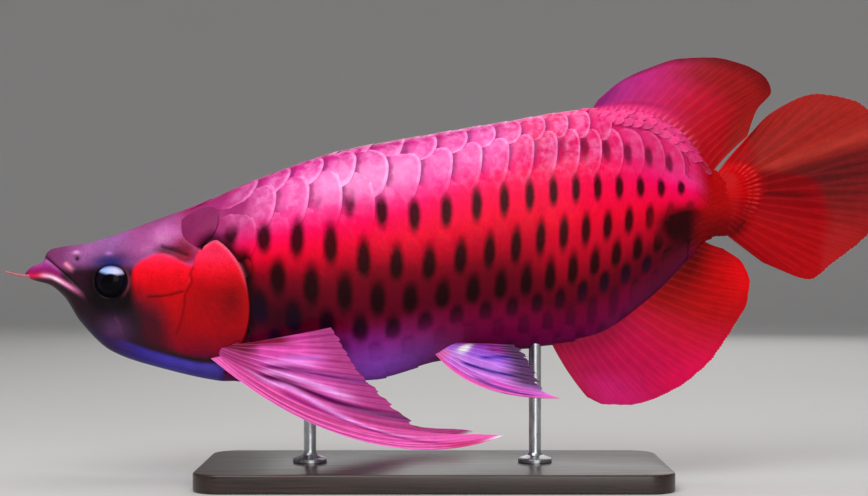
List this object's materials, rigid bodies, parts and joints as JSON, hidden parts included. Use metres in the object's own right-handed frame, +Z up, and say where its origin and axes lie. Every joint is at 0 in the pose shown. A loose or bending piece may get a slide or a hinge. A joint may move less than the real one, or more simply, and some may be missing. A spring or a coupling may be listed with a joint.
{
  "type": "asian arowana",
  "caption": "Life-size asian arowana in its swimming pose, with large scales, barbels and spread fins, on a plain base with rods.",
  "frame": {"origin": "middle of the underside of the stand's base, on the floor", "axes": "+X from the snout to the tail along the base's long side, +Y to the fish's right side, +Z up"},
  "size_m": [0.5791, 0.1572, 0.2755],
  "materials": {
    "skin": "wet-looking pearly skin and scales, pink on the back, crimson on the sides and violet on the belly",
    "gill_cover": "smooth glossy red, darker towards the lower edge",
    "jaw": "satin dark maroon with a pink lip",
    "eye": "clear glossy black pupil in a silver-blue ring",
    "barbel": "satin pinkish brown",
    "middle_fin": "satin red, violet towards the front of the back fin, with raised rays",
    "paired_fin": "pearly pink rays with dark magenta between them",
    "stand_wood": "satin dark stain with fine grain",
    "stand_steel": "brushed"
  },
  "bodies": {
    "root": {"head": "skin", "lower_jaw": "jaw", "gill_cover_left": "gill_cover", "gill_cover_right": "gill_cover", "trunk": "skin", "tail_stalk": "skin", "eye_left": "eye", "eye_right": "eye", "barbel_left": "barbel", "barbel_right": "barbel", "dorsal_fin": "middle_fin", "anal_fin": "middle_fin", "tail_fin": "middle_fin", "pectoral_fin_left": "paired_fin", "pectoral_fin_right": "paired_fin", "pelvic_fin_left": "paired_fin", "pelvic_fin_right": "paired_fin", "stand_base": "stand_wood", "stand_rod_front": "stand_steel", "stand_rod_rear": "stand_steel"}
  },
  "joints": []
}
